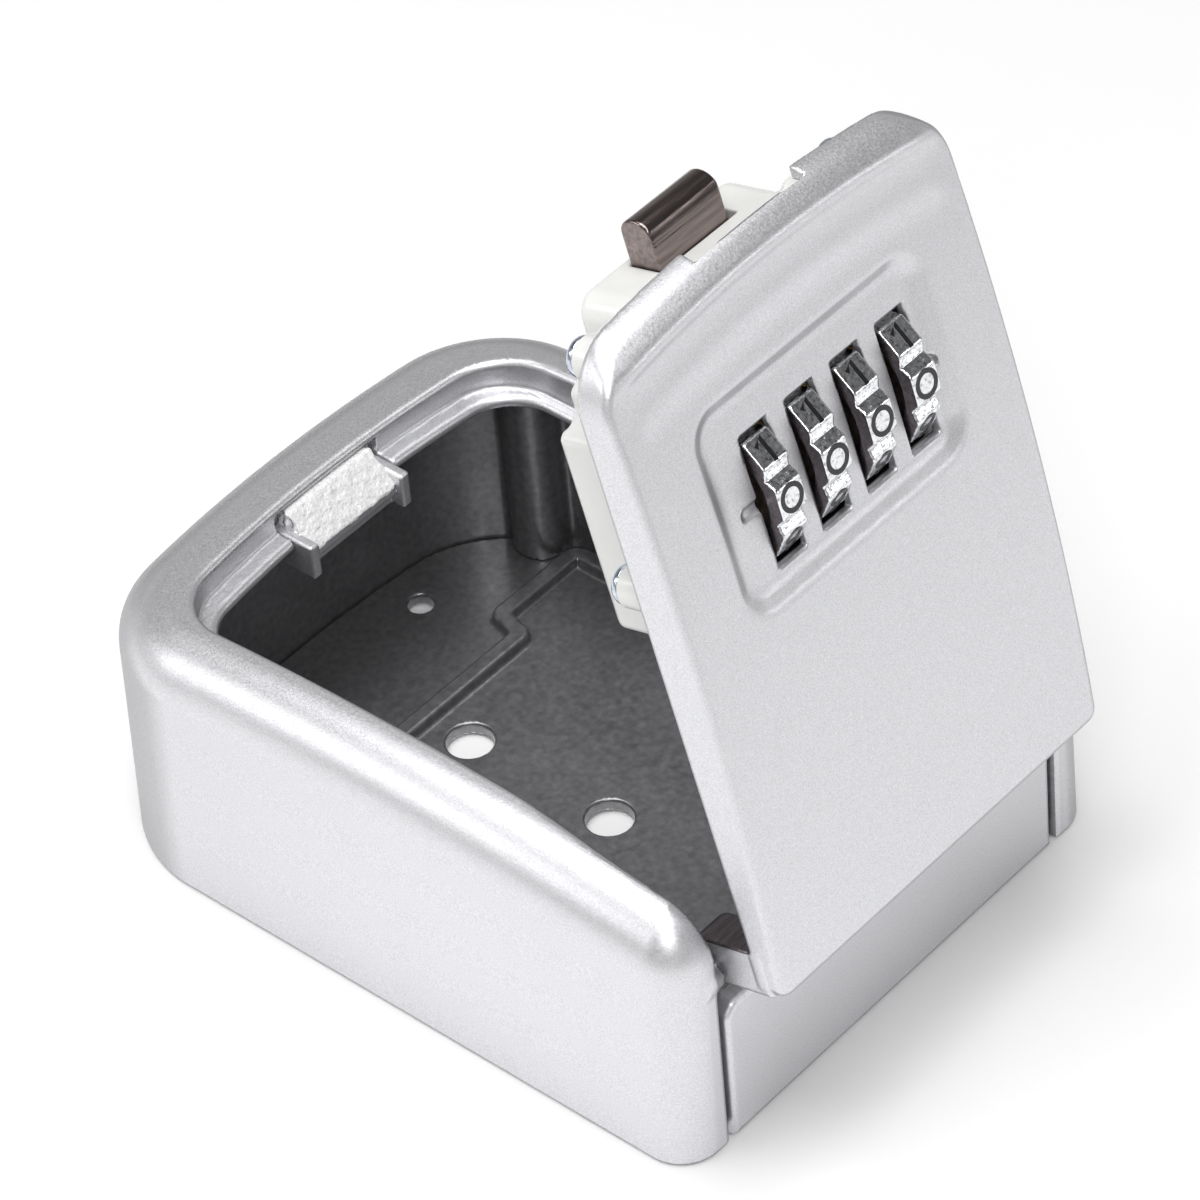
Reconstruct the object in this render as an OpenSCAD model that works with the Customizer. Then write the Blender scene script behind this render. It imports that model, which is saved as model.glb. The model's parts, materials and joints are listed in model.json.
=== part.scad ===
// Wall-mounted key lock box: a cast case lying on its back, with its four-dial lid standing open.
// X is the width, Y runs from the hinge end up to the arched end, and Z points out of the wall.
// The origin is the centre of the back face. Lid pieces are drawn shut, then swung open by lid_open.

/* [Case] */
// Width of the case
case_w = 93; // [88:1:100]
// Height of the case, from the hinge end to the crown of the arched end
case_h = 120.4; // [116:0.4:128]
// Depth of the case at the crown of its front
case_d = 46.3; // [45:0.1:50]
// Thickness of the side walls
wall_t = 3.6; // [3:0.1:4.2]
// Radius of the rounded front edge
edge_r = 8; // [5:0.5:9]
// Radius of the two corners beside the arched end
arch_corner_r = 18; // [14:1:20]
// How far the arched end bows out
arch_rise = 5.1; // [3:0.1:7]
// Radius of the crowned front face
crown_r = 502; // [450:1:600]

/* [Opening] */
// Width of the opening that the lid fills
opening_w = 71.6; // [70:0.2:73]
// Width of the front rim at the arched end
rim_end_w = 14.2; // [13:0.1:15]
// Gap around the shut lid
lid_gap = 0.5; // [0.4:0.05:0.8]
// How far the shut lid stands above the rim
lid_proud = 0.8; // [0.2:0.1:1.2]

/* [Hinge] */
// Angle of the lid from shut, as drawn
lid_open = 75; // [0:1:100]
// Radius of the hinge pins
pin_r = 1.25; // [1:0.05:1.3]

/* [Dials] */
// Distance between neighbouring dials
dial_pitch = 9.48; // [9.3:0.02:9.8]
// Sideways place of the middle of the dial row
dial_shift = 2.15; // [1.5:0.05:2.5]
// Radius over the teeth of a dial
dial_r = 12.4; // [11.5:0.1:12.6]
// Width of a dial
dial_w = 5.1; // [4.6:0.1:5.3]
// Width of a dial window
window_w = 5.94; // [5.7:0.02:6.2]
// Length of a dial window
window_l = 20.6; // [19:0.2:21]

/* [Latch] */
// Width of the latch bolt
latch_w = 14; // [12:0.5:15]
// How far the latch bolt draws back
latch_travel = 5.5; // [4:0.5:5.5]

/* [Wall holes] */
// Radius of the large wall-screw holes on the centre line
wall_hole_r = 3.7; // [3:0.1:4]
// Distance between the two large holes
wall_hole_pitch = 27.6; // [24:0.2:30]
// Radius of the four small corner holes
corner_hole_r = 2.1; // [1.6:0.1:2.4]

/* [Hidden] */
$fn = 96;
corner_steps = 10;
bow_steps = 24;
slip = 0.05;
over = 1;
half_w = case_w / 2;
half_h = case_h / 2;
crown_y = -4;
arch_r = (arch_rise * arch_rise + half_w * half_w) / (2 * arch_rise);
arch_centre = [0, half_h - arch_r];
crown_centre = [crown_y, case_d - crown_r];
crown_reach = 72;
crown_a = asin(crown_reach / crown_r);
foot_r = 6.5;
// heights inside the case
floor_t = 2.4;
ledge_bottom = 37.5;
ledge_top = 39.5;
ledge_w = 1.8;
ledge_end_w = 3.4;
cheek_x = 37.2;
cheek_l = 11.2;
panel_x = cheek_x - 1;
panel_h = 25.3;
panel_t = 3.5;
plate_gap = 0.2;
boss_r = 4.5;
boss_x = 40.2;
boss_y = 42.2;
low_boss_x = 39.8;
low_boss_y = -44.6;
boss_spots = [[boss_x, boss_y], [-boss_x, boss_y], [low_boss_x, low_boss_y], [-low_boss_x, low_boss_y]];
boss_hole_l = 14;
// screws from the back into the bosses
screw_r = 1.5;
screw_l = 12;
screw_head_r = 2.2;
screw_head_t = 1.2;
screw_sink = 0.2;
screw_play = 0.2;
// small and large wall holes
upper_hole_y = 21.6;
corner_hole_x = 18.4;
corner_hole_y = 48.1;
low_corner_hole_y = -44.1;
// raised bead on the floor
bead_h = 1.8;
bead_w = 2.8;
bead_shoulder = 0.6;
bead_top_w = 1.8;
bead_x = 40.5;
bead_step_x = 21;
bead_step_w = 3;
bead_low_y = 30;
bead_high_y = 35.5;
bead_end_y = -38;
// hinge
hinge_y = -57.6;
hinge_z = 31.4;
hinge_boss_r = 2.6;
hinge_boss_l = 1.5;
hinge_pin_end = 42;
ear_w = 6.5;
ear_y = -52.5;
ear_r = 4;
ear_r_y = -56.5;
// lid
lid_w = opening_w - 2 * lid_gap;
half_lid = lid_w / 2;
lid_foot = -half_h + 0.2;
lid_arch_r = arch_r - rim_end_w - lid_gap;
lid_corner_r = 8.4;
lid_t = 2.4;
lid_wall_t = 2.2;
lid_wall_z = 39.8;
lid_wall_h = 12;
lid_crown = case_d + lid_proud;
lid_boss_r = 2.9;
lid_boss_gap = 0.4;
lid_screw_hole_l = 3.8;
lid_notch_gap = 0.3;
panel_wall_t = 1.6;
skirt_z = 26.2;
recess_t = 1.5;
recess_x = -0.3;
recess_y = 11.4;
recess_w = 46.5;
recess_l = 31.6;
recess_r = 4.5;
recess_step = 1.6;
// dials and their sleeves
dial_y = 9.4;
dial_show = 3.5;
recess_z = lid_crown - pow(dial_y - crown_y, 2) / (2 * crown_r) - recess_t;
dial_z = recess_z + dial_show - dial_r;
dial_count = 4;
digits = 10;
groove_w = 2.2;
tube_r = 4.8;
shaft_r = 2;
shaft_half = 25.6;
shaft_groove_w = 0.8;
shaft_groove_t = 0.5;
cam_r = 7;
cam_t = 1.6;
gate_w = 3;
gate_depth = 1.7;
cam_gap = 0.2;
clip_x = [-23.7, 24.3];
clip_t = 0.6;
clip_r = 3.6;
clip_hole_r = 1.55;
clip_mouth = 1.5;
spring_start = clip_x[0] + 0.4;
// code-change slider
slider_x = dial_shift + 1.5 * dial_pitch - dial_w / 2 - cam_gap - cam_t + dial_pitch;
slider_t = 1.6;
slider_travel = 2;
slider_half = 5;
slider_out = 2.2;
slider_rise = 5;
slider_lift = 0.2;
tab_half = 2;
tab_t = 1.6;
tab_left = 0.6;
tab_right = 0.4;
slot_play = 0.2;
// lock housing
house_back = 22.5;
house_top_y = 38;
// half width, low end and high end of each block of the housing
house_zones = [[26.2, -9, 22.8], [22.2, 20, 27.5], [19.4, 26, 30.8], [16.5, 29, house_top_y]];
// chamber round the dials, and the narrower room at the ends of their shaft
chamber_x = [-17.2, 21.6];
chamber_gap = 0.4;
chamber_low = 11;
chamber_high = 9.6;
shaft_room_x = [-24.2, 24.8];
shaft_room_r = 7.6;
// cover let into the back of the housing
cover_t = 1.2;
cover_sink = 0.1;
cover_half = 24.9;
cover_y = [-7.6, 21.2];
cover_gap = 0.1;
cover_top = house_back + cover_sink + cover_t;
// slot of the detent spring in Y and Z, and the spring itself
detent_slot_x = [-18, 22];
detent_slot_y = [-4.6, -1];
detent_slot_z = 27;
detent_x = [-17.6, 21.6];
detent_y = [-4.3, -3.9];
detent_z = [27.4, 31];
finger_half = 1.6;
finger_z = 39;
house_lug_z = 33;
house_lug_r = 3.8;
house_arm_half = 2.6;
house_arm_x = 15;
house_screw_r = 1.4;
house_screw_l = 10.3;
house_head_r = 2.9;
house_head_t = 1.9;
house_play = 0.2;
screw_spots = [[-25.4, 36.5], [25.4, 36.5], [-29.8, 3.4], [29.8, 3.4]];
// latch
latch_z0 = 24.7;
latch_z1 = 30.4;
latch_tip = 45.2;
latch_tail = 27.5;
latch_nose_r = 3.2;
latch_nose_lap = 0.2;
spring_x = 4;
spring_r = 1.6;
spring_bore_r = 1.8;
spring_seat = 20.6;
spring_hole = 33;
spring_hole_l = 4;
coil_wire = 0.28;
coil_turns = 9;
sleeve_coil_r = 3.2;
sleeve_coil_wire = 0.35;
sleeve_coil_turns = 6;
latch_mid = (latch_z0 + latch_z1) / 2;
// locking bar and its rivets
bar_z = 33;
bar_y = [28.2, 32.6];
rib_x = [-17, 14];
rib_y = 30;
rib_z = [31.2, 38.6];
tooth_z = [35.2, 37.8];
tooth_gap = 0.6;
tooth_left = 0.1;
tooth_right = 0.3;
bar_room_x = [-17.8, 15];
bar_room_y = 30.3;
bar_block_room = [8, 35];
rivet_x = 4.5;
rivet_y = 31.3;
rivet_r = 1;
rivet_sink = 0.9;
rivet_head_r = 1.25;
rivet_head_t = 0.5;
// strike
strike_half = 10.8;
strike_ear = 1.95;
strike_y0 = 38.6;
strike_ramp_y = 40.3;
strike_y1 = 47.4;
strike_z0 = 33.2;
strike_ramp_z = 37.2;
strike_z1 = 42;
strike_lip = 2.3;
ear_ramp_z = 38.2;
ear_ramp_y = 42.7;
strike_seat_gap = 0.1;

function dial_x(i) = dial_shift + (i - 2.5) * dial_pitch;
function cam_x(i) = dial_x(i) - dial_w / 2 - cam_gap - cam_t;

// ---- shared shapes ----

// Points along an arc, from one angle to another.
function arc(centre, r, from, to, steps) =
  [for (i = [0 : steps]) let (a = from + (to - from) * i / steps) centre + r * [cos(a), sin(a)]];

// Height of the centre of a corner that touches both a side and the bowed top.
function corner_y(x, centre, reach) = centre[1] + sqrt(reach * reach - pow(x - centre[0], 2));

// A flat shape with straight sides, a bowed top and rounded corners.
module bowed_plate(left, right, bottom, centre, radius, corner, foot = 0) {
  left_c = [left + corner, corner_y(left + corner, centre, radius - corner)];
  right_c = [right - corner, corner_y(right - corner, centre, radius - corner)];
  left_a = atan2(left_c[1] - centre[1], left_c[0] - centre[0]);
  right_a = atan2(right_c[1] - centre[1], right_c[0] - centre[0]);
  polygon(concat(
    foot > 0 ? arc([right - foot, bottom + foot], foot, -90, 0, 6) : [[right, bottom]],
    arc(right_c, corner, 0, right_a, corner_steps),
    arc(centre, radius, right_a, left_a, bow_steps),
    arc(left_c, corner, left_a, 180, corner_steps),
    foot > 0 ? arc([left + foot, bottom + foot], foot, 180, 270, 6) : [[left, bottom]]));
}

// A rectangle with rounded corners, centred on the origin.
module rounded_panel(width, length, r) {
  x = width / 2 - r;
  y = length / 2 - r;
  polygon(concat(arc([x, y], r, 0, 90, 6), arc([-x, y], r, 90, 180, 6), arc([-x, -y], r, 180, 270, 6),
    arc([x, -y], r, 270, 360, 6)));
}

// The outline of the case seen from the front, moved inwards by inset.
module case_outline(inset = 0, bottom = -half_h, foot = 0) {
  bowed_plate(-half_w + inset, half_w - inset, bottom, arch_centre, arch_r - inset,
    arch_corner_r - inset, foot);
}

// The outline of the opening in the rim, moved inwards by inset at the sides and end_inset at the arch.
module opening_outline(inset = 0, end_inset = 0, bottom = -half_h - 2 * over) {
  bowed_plate(-opening_w / 2 + inset, opening_w / 2 - inset, bottom, arch_centre,
    arch_r - rim_end_w - end_inset, lid_corner_r + lid_gap - inset);
}

// A profile in Y and Z, drawn as x and y, made into a bar along X.
module across(width) {
  translate([-width / 2, 0, 0]) rotate([90, 0, 90]) linear_extrude(width) children();
}

// A profile in X and Z, drawn as x and y, made into a bar along Y.
module along(length) {
  translate([0, length / 2, 0]) rotate([90, 0, 0]) linear_extrude(length) children();
}

module rod(x0, x1, y, z, r) {
  translate([x0, y, z]) rotate([0, 90, 0]) cylinder(r = r, h = x1 - x0);
}

module block(low, high) {
  translate(low) cube(high - low);
}

// Swings a piece drawn shut to its open place.
module opened() {
  translate([0, hinge_y, hinge_z]) rotate([lid_open, 0, 0]) translate([0, -hinge_y, -hinge_z]) children();
}

// ---- case ----

module case_outer() {
  intersection() {
    linear_extrude(case_d + over) case_outline(0, -half_h, foot_r);
    across(case_w + 2 * over) bowed_plate(-half_h, half_h, -over, crown_centre, crown_r, edge_r);
    along(case_h + 2 * over) polygon(concat([[-half_w - over, -over], [half_w + over, -over]],
      [[half_w + over, case_d - edge_r]], arc([half_w - edge_r, case_d - edge_r], edge_r, 0, 80, 8),
      [[half_w - edge_r, case_d + over], [edge_r - half_w, case_d + over]],
      arc([edge_r - half_w, case_d - edge_r], edge_r, 100, 180, 8), [[-half_w - over, case_d - edge_r]]));
  }
}

module case_shell() {
  color([0.78, 0.79, 0.80]) difference() {
    union() {
      difference() {
        case_outer();
        // key space
        translate([0, 0, -over]) linear_extrude(ledge_bottom + over)
          case_outline(wall_t, -half_h + cheek_l);
        // step that the lid wall stands on, then the opening itself
        translate([0, 0, ledge_bottom - over]) linear_extrude(ledge_top - ledge_bottom + 2 * over)
          opening_outline(ledge_w, ledge_end_w, -half_h - 3 * over);
        translate([0, 0, ledge_top]) linear_extrude(case_d) opening_outline();
        // hinge end between the cheeks
        block([-cheek_x, -half_h - over, -over], [cheek_x, -half_h + cheek_l + over, case_d + over]);
      }
      for (spot = boss_spots)
        translate([spot[0], spot[1], floor_t + slip]) cylinder(r = boss_r, h = ledge_bottom - floor_t);
      rod(-cheek_x - over, -cheek_x + hinge_boss_l, hinge_y, hinge_z, hinge_boss_r);
      rod(cheek_x - hinge_boss_l, cheek_x + over, hinge_y, hinge_z, hinge_boss_r);
    }
    for (spot = boss_spots) translate([spot[0], spot[1], 0]) cylinder(r = screw_r + slip, h = boss_hole_l);
    rod(-hinge_pin_end - slip, hinge_pin_end + slip, hinge_y, hinge_z, pin_r + slip);
    // seat of the strike plate
    block([-strike_half - strike_seat_gap, strike_y0 - over, strike_z0 - strike_seat_gap],
      [strike_half + strike_seat_gap, strike_y1 + strike_seat_gap, strike_z1 + strike_seat_gap]);
  }
}

// Points beside a path at distance d from it, mitred at its bends.
function beside(path, d) =
  [for (i = [0 : len(path) - 1])
    let (before = path[max(i, 1)] - path[max(i, 1) - 1])
    let (after = path[min(i, len(path) - 2) + 1] - path[min(i, len(path) - 2)])
    let (m = before / norm(before) + after / norm(after))
    let (unit = m / norm(m))
    let (stretch = 1 / (unit * (before / norm(before))))
    path[i] + d * stretch * [-unit[1], unit[0]]];

function reversed(path) = [for (i = [len(path) - 1 : -1 : 0]) path[i]];

// A raised strip of the given width and height along the floor bead's path.
module bead_layer(width, height) {
  right_side = [[0, bead_low_y], [bead_step_x - bead_step_w / 2, bead_low_y],
    [bead_step_x + bead_step_w / 2, bead_high_y], [bead_x, bead_high_y], [bead_x, bead_end_y]];
  left_side = reversed([for (i = [1 : len(right_side) - 1]) [-right_side[i][0], right_side[i][1]]]);
  path = concat(left_side, right_side);
  translate([0, 0, floor_t / 2]) linear_extrude(height + floor_t / 2)
    polygon(concat(beside(path, width / 2), reversed(beside(path, -width / 2))));
}

module floor_bead() {
  bead_layer(bead_w, bead_h - bead_shoulder);
  bead_layer(bead_top_w, bead_h);
}

module base_plate() {
  color([0.55, 0.55, 0.57]) difference() {
    union() {
      linear_extrude(floor_t) case_outline(wall_t + plate_gap, -half_h + cheek_l + plate_gap);
      translate([-panel_x, -half_h, 0]) cube([2 * panel_x, cheek_l + over, floor_t]);
      translate([-panel_x, -half_h, 0]) cube([2 * panel_x, panel_t, panel_h]);
      floor_bead();
    }
    for (y = [upper_hole_y, upper_hole_y - wall_hole_pitch])
      translate([0, y, -over]) cylinder(r = wall_hole_r, h = floor_t + 2 * over);
    for (x = [-corner_hole_x, corner_hole_x])
      for (y = [low_corner_hole_y, corner_hole_y])
        translate([x, y, -over]) cylinder(r = corner_hole_r, h = floor_t + 2 * over);
    for (spot = boss_spots) translate([spot[0], spot[1], -over]) {
      cylinder(r = screw_r + screw_play, h = floor_t + 2 * over);
      cylinder(r = screw_head_r + screw_play, h = over + screw_sink + screw_head_t);
    }
  }
}

// A pan-head screw with its head down on the origin, a cross recess in it, and its shank upwards.
module cross_screw(head_r, head_t, shank_r, length) {
  arm = 0.58 * head_r;
  slot_w = 0.24 * head_r;
  difference() {
    union() {
      cylinder(r = head_r, h = head_t);
      cylinder(r = shank_r, h = length);
    }
    for (turn = [0, 90]) rotate([0, 0, turn]) translate([-arm, -slot_w / 2, -over])
      cube([2 * arm, slot_w, over + head_t / 2]);
  }
}

module base_screws() {
  color([0.62, 0.62, 0.64]) for (spot = boss_spots)
    translate([spot[0], spot[1], screw_sink]) cross_screw(screw_head_r, screw_head_t, screw_r, screw_l);
}

module strike_plate() {
  color([0.93, 0.93, 0.93]) difference() {
    block([-strike_half, strike_y0, strike_z0], [strike_half, strike_y1, strike_z1]);
    // ramp between the two ears, with open space under it for the latch
    across(2 * (strike_half - strike_ear)) polygon([[strike_y0 - over, strike_z0 - over],
      [strike_ramp_y, strike_z0 - over], [strike_ramp_y, strike_ramp_z],
      [strike_y1 - strike_lip, strike_z1], [strike_y1 - strike_lip, strike_z1 + over],
      [strike_y0 - over, strike_z1 + over]]);
    // sloped inner top of the ears
    across(2 * strike_half + 2 * over) polygon([[strike_y0 - over, ear_ramp_z], [strike_y0, ear_ramp_z],
      [ear_ramp_y, strike_z1], [ear_ramp_y, strike_z1 + over], [strike_y0 - over, strike_z1 + over]]);
  }
}

module hinge_pins() {
  color([0.7, 0.7, 0.72]) for (side = [0, 1]) mirror([side, 0, 0])
    rod(half_lid - ear_w, hinge_pin_end, hinge_y, hinge_z, pin_r);
}

// ---- lid ----

module lid_outline(inset = 0) {
  bowed_plate(-half_lid + inset, half_lid - inset, lid_foot + inset, arch_centre,
    lid_arch_r - inset, lid_corner_r - inset);
}

module dial_windows(depth_top, depth_bottom) {
  for (i = [1 : dial_count])
    block([dial_x(i) - window_w / 2, dial_y - window_l / 2, depth_bottom],
      [dial_x(i) + window_w / 2, dial_y + window_l / 2, depth_top]);
}

// Keeps what lies under the crowned front of the lid, lowered by drop.
module under_crown(drop) {
  intersection() {
    children();
    across(case_w) polygon(concat([[crown_y + crown_reach, 0]],
      arc(crown_centre + [0, lid_proud - drop], crown_r, 90 - crown_a, 90 + crown_a, 32),
      [[crown_y - crown_reach, 0]]));
  }
}

module recess_outline(grow = 0) {
  translate([recess_x, recess_y]) rounded_panel(recess_w + 2 * grow, recess_l + 2 * grow, recess_r + grow);
}

module lid_front() {
  difference() {
    union() {
      under_crown(0) translate([0, 0, lid_wall_z]) linear_extrude(lid_wall_h) difference() {
        lid_outline();
        recess_outline();
      }
      // the panel around the dials is set back
      under_crown(recess_t) translate([0, 0, lid_wall_z]) linear_extrude(lid_wall_h) recess_outline(0.5);
    }
    // hollow behind the front, shallower behind the panel
    under_crown(lid_t) translate([0, 0, lid_wall_z - over]) linear_extrude(lid_wall_h) difference() {
      lid_outline(lid_wall_t);
      recess_outline(recess_step);
    }
    under_crown(recess_t + panel_wall_t) translate([0, 0, lid_wall_z - over]) linear_extrude(lid_wall_h)
      recess_outline(2);
  }
}

module lid_skirt() {
  block([-half_lid, lid_foot, skirt_z], [half_lid, lid_foot + lid_wall_t, lid_wall_z + over]);
  for (side = [0, 1]) mirror([side, 0, 0]) {
    block([half_lid - ear_w, lid_foot, hinge_z], [half_lid, ear_y, lid_wall_z + over]);
    intersection() {
      rod(half_lid - ear_w, half_lid, ear_r_y, hinge_z, ear_r);
      block([half_lid - ear_w - over, lid_foot, hinge_z - 2 * ear_r],
        [half_lid + over, ear_y, hinge_z + over]);
    }
  }
}

module lid_shell() {
  color([0.84, 0.84, 0.84]) opened() difference() {
    union() {
      lid_front();
      lid_skirt();
      for (spot = screw_spots) under_crown(lid_t - lid_boss_gap)
        translate([spot[0], spot[1], lid_wall_z + slip]) cylinder(r = lid_boss_r, h = lid_wall_h);
    }
    dial_windows(lid_crown + over, lid_wall_z - over);
    // notch in the end wall that clears the strike plate
    block([-strike_half - lid_notch_gap, strike_y0, lid_wall_z - over],
      [strike_half + lid_notch_gap, half_h, strike_z1 + lid_notch_gap]);
    for (side = [-1, 1])
      rod(side * half_lid - ear_w - over, side * half_lid + ear_w + over, hinge_y, hinge_z, pin_r + slip);
    for (spot = screw_spots)
      translate([spot[0], spot[1], lid_wall_z - over])
        cylinder(r = house_screw_r + slip, h = over + lid_screw_hole_l);
  }
}

// The lock housing seen from the front, stepping inwards from the dials to the latch.
module housing_outline() {
  for (zone = house_zones) translate([-zone[0], zone[1]]) square([2 * zone[0], zone[2] - zone[1]]);
}

module lock_housing() {
  color([0.92, 0.92, 0.90]) opened() difference() {
    union() {
      translate([0, 0, house_back]) linear_extrude(lid_wall_z - house_back) housing_outline();
      for (spot = screw_spots) {
        translate([spot[0], spot[1], house_lug_z]) cylinder(r = house_lug_r, h = lid_wall_z - house_lug_z);
        block([min(spot[0], sign(spot[0]) * house_arm_x), spot[1] - house_arm_half, house_lug_z],
          [max(spot[0], sign(spot[0]) * house_arm_x), spot[1] + house_arm_half, lid_wall_z]);
      }
    }
    // dial chamber, open to the back and to the windows
    rod(chamber_x[0], chamber_x[1], dial_y, dial_z, dial_r + chamber_gap);
    block([chamber_x[0], dial_y - chamber_low, house_back - over],
      [chamber_x[1], dial_y + chamber_high, dial_z]);
    block([chamber_x[0], dial_y - chamber_low, dial_z - over],
      [chamber_x[1], dial_y + chamber_low, lid_wall_z + over]);
    rod(shaft_room_x[0], shaft_room_x[1], dial_y, dial_z, shaft_room_r);
    block([shaft_room_x[0], dial_y - shaft_room_r, house_back - over],
      [shaft_room_x[1], dial_y + shaft_room_r, dial_z]);
    // seat of the back cover
    block([-cover_half - cover_gap, cover_y[0] - cover_gap, house_back - over],
      [cover_half + cover_gap, cover_y[1] + cover_gap, cover_top + slip]);
    rod(-shaft_half - slip, shaft_half + slip, dial_y, dial_z, shaft_r + slip);
    // slot of the detent spring
    block([detent_slot_x[0], detent_slot_y[0], detent_slot_z],
      [detent_slot_x[1], detent_slot_y[1], lid_wall_z + over]);
    // latch channel, spring seats and the room for the locking bar
    block([-latch_w / 2 - slip, spring_seat + 1.2, latch_z0 - slip],
      [latch_w / 2 + slip, house_top_y + over, latch_z1 + slip]);
    for (x = [-spring_x, spring_x]) translate([x, spring_seat, latch_mid]) rotate([-90, 0, 0])
      cylinder(r = spring_bore_r, h = spring_hole_l);
    block([bar_room_x[0], dial_y + chamber_high - over, latch_z1 - over / 2],
      [bar_room_x[1], bar_room_y, lid_wall_z + over]);
    block([-bar_block_room[0], bar_room_y - over, latch_z1 - over / 2],
      [bar_block_room[0], bar_block_room[1], lid_wall_z + over]);
    // screw holes, with a seat for each head
    for (spot = screw_spots) translate([spot[0], spot[1], house_back - over]) {
      cylinder(r = house_screw_r + house_play, h = lid_wall_z);
      cylinder(r = house_head_r + house_play, h = house_lug_z - house_back + over);
    }
  }
}

module back_cover() {
  color([0.80, 0.80, 0.80]) opened() difference() {
    block([-cover_half, cover_y[0], house_back + cover_sink], [cover_half, cover_y[1], cover_top]);
    // slot for the code-change tab
    block([slider_x - tab_left - slider_travel - slot_play, dial_y - tab_half - slot_play, house_back - over],
      [slider_x + slider_t + tab_right + slot_play, dial_y + tab_half + slot_play, cover_top + over]);
  }
}

module housing_screws() {
  color([0.85, 0.87, 0.9]) opened() for (spot = screw_spots)
    translate([spot[0], spot[1], house_lug_z - slip - house_head_t])
      cross_screw(house_head_r, house_head_t, house_screw_r, house_head_t + house_screw_l);
}

module dial_shaft() {
  color([0.6, 0.6, 0.62]) opened() difference() {
    rod(-shaft_half, shaft_half, dial_y, dial_z, shaft_r);
    for (x = clip_x) difference() {
      rod(x - shaft_groove_w / 2, x + shaft_groove_w / 2, dial_y, dial_z, shaft_r + over);
      rod(x - shaft_groove_w, x + shaft_groove_w, dial_y, dial_z, shaft_r - shaft_groove_t);
    }
  }
}

module shaft_clips() {
  color([0.35, 0.35, 0.37]) opened() for (x = clip_x) difference() {
    rod(x - clip_t / 2, x + clip_t / 2, dial_y, dial_z, clip_r);
    rod(x - over, x + over, dial_y, dial_z, clip_hole_r);
    block([x - over, dial_y - clip_mouth, dial_z], [x + over, dial_y + clip_mouth, dial_z + clip_r + over]);
  }
}

module detent_spring() {
  color([0.72, 0.72, 0.74]) opened() {
    block([detent_x[0], detent_y[0], detent_z[0]], [detent_x[1], detent_y[1], detent_z[1]]);
    for (i = [1 : dial_count])
      block([dial_x(i) - finger_half, detent_y[0], detent_z[1] - slip],
        [dial_x(i) + finger_half, detent_y[1], finger_z]);
  }
}

// One close-wound coil, drawn as a stack of rings joined by a thin seam.
module ring_spring(length, r, wire, turns) {
  pitch = (length - 2 * wire) / turns;
  for (n = [0 : turns]) translate([0, 0, wire + n * pitch])
    rotate_extrude() translate([r - wire, 0]) circle(wire, $fn = 24);
  translate([r - wire, 0, wire]) cylinder(r = wire / 2, h = length - 2 * wire, $fn = 24);
}

module sleeve_spring() {
  color([0.66, 0.66, 0.68]) opened() translate([spring_start, dial_y, dial_z]) rotate([0, 90, 0])
    ring_spring(cam_x(1) - spring_start - slip, sleeve_coil_r, sleeve_coil_wire, sleeve_coil_turns);
}

module latch_springs() {
  color([0.66, 0.66, 0.68]) opened() for (x = [-spring_x, spring_x])
    translate([x, spring_seat + slip, latch_mid]) rotate([-90, 0, 0])
      ring_spring(spring_hole - spring_seat - 2 * slip, spring_r, coil_wire, coil_turns);
}

module latch_bolt() {
  color([0.40, 0.37, 0.36]) opened() difference() {
    intersection() {
      block([-latch_w / 2, latch_tail, latch_z0], [latch_w / 2, latch_tip, latch_z1]);
      union() {
        block([-latch_w, latch_tail - over, latch_z0 - over],
          [latch_w, latch_tip - latch_nose_r + latch_nose_lap, latch_z1 + over]);
        rod(-latch_w, latch_w, latch_tip - latch_nose_r, latch_mid, latch_nose_r);
      }
    }
    for (x = [-spring_x, spring_x]) translate([x, latch_tail - over, latch_mid]) rotate([-90, 0, 0])
      cylinder(r = spring_bore_r, h = spring_hole - latch_tail + over);
    for (x = [-rivet_x, rivet_x]) translate([x, rivet_y, latch_z1 - rivet_sink - slip])
      cylinder(r = rivet_r + slip, h = rivet_sink + over);
  }
}

module locking_bar() {
  color([0.74, 0.72, 0.62]) opened() difference() {
    union() {
      block([-latch_w / 2, bar_y[0], latch_z1 + slip], [latch_w / 2, bar_y[1], bar_z]);
      block([rib_x[0], bar_y[0], rib_z[0]], [rib_x[1], rib_y, rib_z[1]]);
      for (i = [1 : dial_count])
        block([cam_x(i) - tooth_left, dial_y + cam_r + latch_travel + tooth_gap, tooth_z[0]],
          [cam_x(i) + cam_t - tooth_right, bar_y[0] + slip, tooth_z[1]]);
    }
    for (x = [-rivet_x, rivet_x]) translate([x, rivet_y, latch_z1])
      cylinder(r = rivet_r + slip, h = bar_z - latch_z1 + over);
  }
}

module bar_rivets() {
  shank_l = bar_z + slip - latch_z1 + rivet_sink;
  color([0.8, 0.8, 0.8]) opened() for (x = [-rivet_x, rivet_x])
    translate([x, rivet_y, latch_z1 - rivet_sink]) {
      cylinder(r = rivet_r, h = shank_l);
      translate([0, 0, shank_l]) cylinder(r = rivet_head_r, h = rivet_head_t);
    }
}

module reset_slider() {
  x0 = slider_x;
  color([0.25, 0.25, 0.27]) opened() difference() {
    union() {
      block([x0, dial_y - slider_half, cover_top + slider_lift],
        [x0 + slider_t, dial_y + slider_half, dial_z + slider_rise]);
      block([x0, dial_y - tab_half, house_back - slider_out],
        [x0 + slider_t, dial_y + tab_half, cover_top + over]);
      block([x0 - tab_left, dial_y - tab_half, house_back - slider_out],
        [x0 + slider_t + tab_right, dial_y + tab_half, house_back - slider_out + tab_t]);
    }
    rod(x0 - over, x0 + slider_t + over, dial_y, dial_z, shaft_r + slip);
  }
}

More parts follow.
